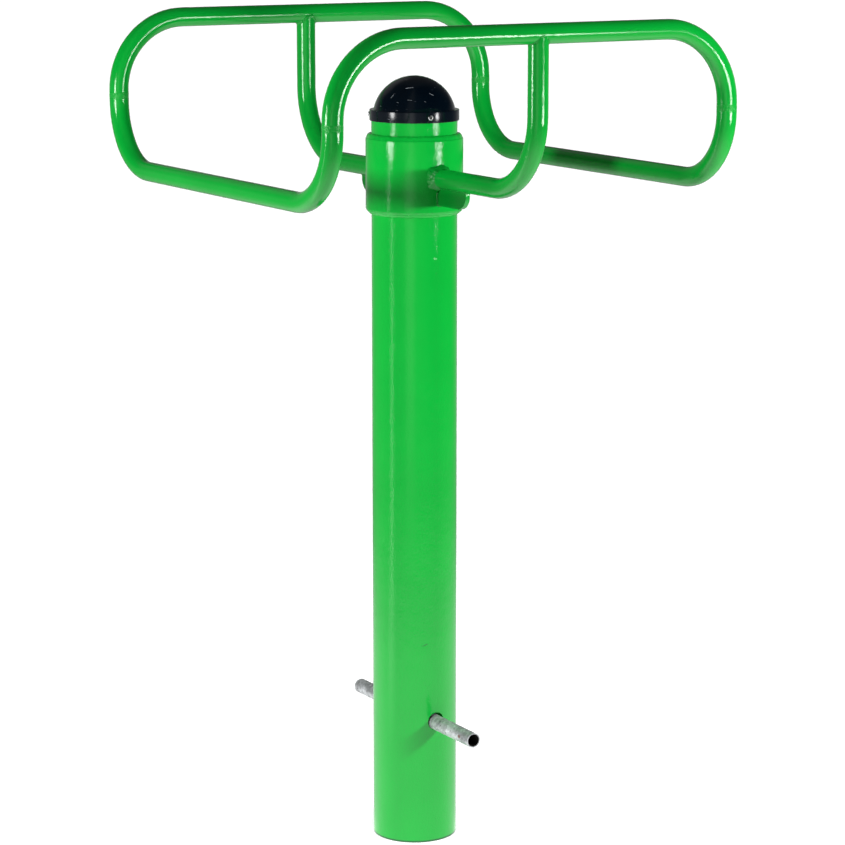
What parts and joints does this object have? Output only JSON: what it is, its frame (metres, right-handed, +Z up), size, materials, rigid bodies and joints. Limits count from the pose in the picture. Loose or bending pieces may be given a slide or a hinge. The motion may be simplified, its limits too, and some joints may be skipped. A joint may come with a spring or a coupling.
{
  "type": "outdoor leg stretcher",
  "caption": "Round post with a welded collar, bent tube arms and a closed hoop of high and low rails for laying a leg on, a domed cap and an anchor tube through its foot.",
  "frame": {"origin": "middle of the post's bottom end", "axes": "+Z up the post; +X along the two high rails; +Y along the two low rails and both arms, from the front high rail towards the rear one"},
  "size_m": [0.7446, 0.7688, 1.377],
  "materials": {
    "green_paint": "high gloss green paint",
    "black_plastic": "gloss black",
    "bright_steel": "bright plated steel",
    "galvanised_steel": "dull galvanised, spangled"
  },
  "bodies": {
    "root": {"post": "green_paint", "collar_sleeve": "green_paint", "collar_weld_upper": "green_paint", "collar_weld_lower": "green_paint", "front_arm": "green_paint", "front_arm_root_weld": "green_paint", "front_gusset": "green_paint", "front_gusset_collar_weld": "green_paint", "front_gusset_arm_weld": "green_paint", "front_top_rail": "green_paint", "front_rail_weld": "green_paint", "rear_arm": "green_paint", "rear_arm_root_weld": "green_paint", "rear_gusset": "green_paint", "rear_gusset_collar_weld": "green_paint", "rear_gusset_arm_weld": "green_paint", "rear_top_rail": "green_paint", "rear_rail_weld": "green_paint", "left_low_rail": "green_paint", "right_low_rail": "green_paint", "front_left_corner_weld": "green_paint", "front_right_corner_weld": "green_paint", "rear_left_corner_weld": "green_paint", "rear_right_corner_weld": "green_paint", "dome_cap": "black_plastic", "cap_screw_1": "bright_steel", "cap_screw_2": "bright_steel", "cap_screw_3": "bright_steel", "anchor_tube": "galvanised_steel"}
  },
  "joints": []
}
